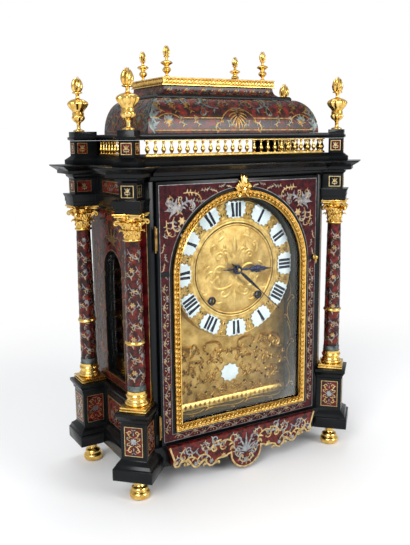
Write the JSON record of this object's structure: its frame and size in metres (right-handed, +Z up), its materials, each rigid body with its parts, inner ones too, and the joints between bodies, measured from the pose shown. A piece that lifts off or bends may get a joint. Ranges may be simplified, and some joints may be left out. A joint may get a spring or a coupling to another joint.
{
  "type": "bracket clock",
  "caption": "Bracket clock in a marquetry case with corner columns, balustrade and cushion dome, arched glazed door, cartouche dial and a pendulum movement.",
  "frame": {"origin": "on the floor under the middle of the case, midway between the front tips of the cornice and the flat back", "axes": "+Z up, +X to the viewer's right when facing the dial, +Y towards the back"},
  "size_m": [0.4292, 0.2168, 0.5994],
  "materials": {
    "ebony": "gloss black polish",
    "marquetry": "polished red shell with brass inlay",
    "gilt_bronze": "gilt, burnished and matt",
    "brass": "satin",
    "blued_steel": "blued",
    "steel": "satin",
    "reveal_metal": "dark grey satin",
    "enamel": "glossy white enamel",
    "glass": "clear"
  },
  "bodies": {
    "case": {"foot_front_left": "gilt_bronze", "column_base_front_left": "gilt_bronze", "column_capital_front_left": "gilt_bronze", "large_finial_front_left": "gilt_bronze", "small_finial_front_left": "gilt_bronze", "column_shaft_front_left": "marquetry", "foot_front_right": "gilt_bronze", "column_base_front_right": "gilt_bronze", "column_capital_front_right": "gilt_bronze", "large_finial_front_right": "gilt_bronze", "small_finial_front_right": "gilt_bronze", "column_shaft_front_right": "marquetry", "foot_back_left": "gilt_bronze", "column_base_back_left": "gilt_bronze", "column_capital_back_left": "gilt_bronze", "large_finial_back_left": "gilt_bronze", "small_finial_back_left": "gilt_bronze", "column_shaft_back_left": "marquetry", "foot_back_right": "gilt_bronze", "column_base_back_right": "gilt_bronze", "column_capital_back_right": "gilt_bronze", "large_finial_back_right": "gilt_bronze", "small_finial_back_right": "gilt_bronze", "column_shaft_back_right": "marquetry", "plinth": "ebony", "case_body": "ebony", "entablature": "ebony", "gallery_course": "ebony", "gallery_rail": "ebony", "gallery_front": "gilt_bronze", "gallery_left": "gilt_bronze", "gallery_right": "gilt_bronze", "dome_border": "gilt_bronze", "dial_plate": "gilt_bronze", "dial_ring": "gilt_bronze", "dome": "marquetry", "apron": "marquetry", "side_glass_left": "glass", "side_glass_right": "glass", "door_hinge_upper": "brass", "door_hinge_lower": "brass", "movement_frame": "brass", "bell": "brass", "dial_reveal": "reveal_metal", "dial_plaque": "enamel"},
    "door": {"door_frame": "ebony", "door_bezel": "gilt_bronze", "door_glass": "glass"},
    "catch": {"door_catch": "brass"},
    "minute": {"minute_hand": "blued_steel", "cannon_wheel": "brass"},
    "hour": {"hour_hand": "blued_steel", "hour_wheel": "brass"},
    "minute_work": {"minute_wheel": "brass"},
    "going": {"going_barrel": "brass"},
    "strike": {"strike_barrel": "brass"},
    "escapement": {"pallets": "steel", "pendulum": "brass"},
    "hammer": {"bell_hammer": "steel"},
    "rear_door": {"back_door": "ebony"}
  },
  "joints": [
    {"name": "door_swing", "type": "hinge", "parent": "case", "child": "door", "pos_m": [-0.1328, -0.0634, 0.24], "axis": [0, 0, -1], "range_deg": [0, 90]},
    {"name": "catch_turn", "type": "hinge", "parent": "door", "child": "catch", "pos_m": [0.1265, -0.0615, 0.3021], "axis": [0, 1, 0], "range_deg": [0, 90]},
    {"name": "minute_hand_turn", "type": "hinge", "parent": "case", "child": "minute", "pos_m": [0, -0.051, 0.294], "axis": [0, 1, 0], "continuous": true},
    {"name": "hour_hand_turn", "type": "hinge", "parent": "case", "child": "hour", "pos_m": [0, -0.048, 0.294], "axis": [0, 1, 0], "continuous": true},
    {"name": "minute_wheel_turn", "type": "hinge", "parent": "case", "child": "minute_work", "pos_m": [0.01543, -0.018, 0.31239], "axis": [0, 1, 0], "continuous": true},
    {"name": "going_winding", "type": "hinge", "parent": "case", "child": "going", "pos_m": [0.039, 0.017, 0.2521], "axis": [0, 1, 0], "continuous": true},
    {"name": "strike_winding", "type": "hinge", "parent": "case", "child": "strike", "pos_m": [-0.039, 0.017, 0.2521], "axis": [0, 1, 0], "continuous": true},
    {"name": "pendulum_swing", "type": "hinge", "parent": "case", "child": "escapement", "pos_m": [0, 0.05, 0.3305], "axis": [0, 1, 0], "range_deg": [-4, 4]},
    {"name": "hammer_strike", "type": "hinge", "parent": "case", "child": "hammer", "pos_m": [0.052, 0.017, 0.3225], "axis": [0, 1, 0], "range_deg": [0, 15], "stiffness_Nm_per_rad": 0.05, "springref_deg": -8.59},
    {"name": "back_door_swing", "type": "hinge", "parent": "case", "child": "rear_door", "pos_m": [0.1432, 0.10535, 0.24], "axis": [0, 0, -1], "range_deg": [0, 100]}
  ],
  "couplings": [
    {"joint": "hour_hand_turn", "follows": "minute_hand_turn", "ratio": 0.083333},
    {"joint": "minute_wheel_turn", "follows": "minute_hand_turn", "ratio": -0.33333}
  ]
}
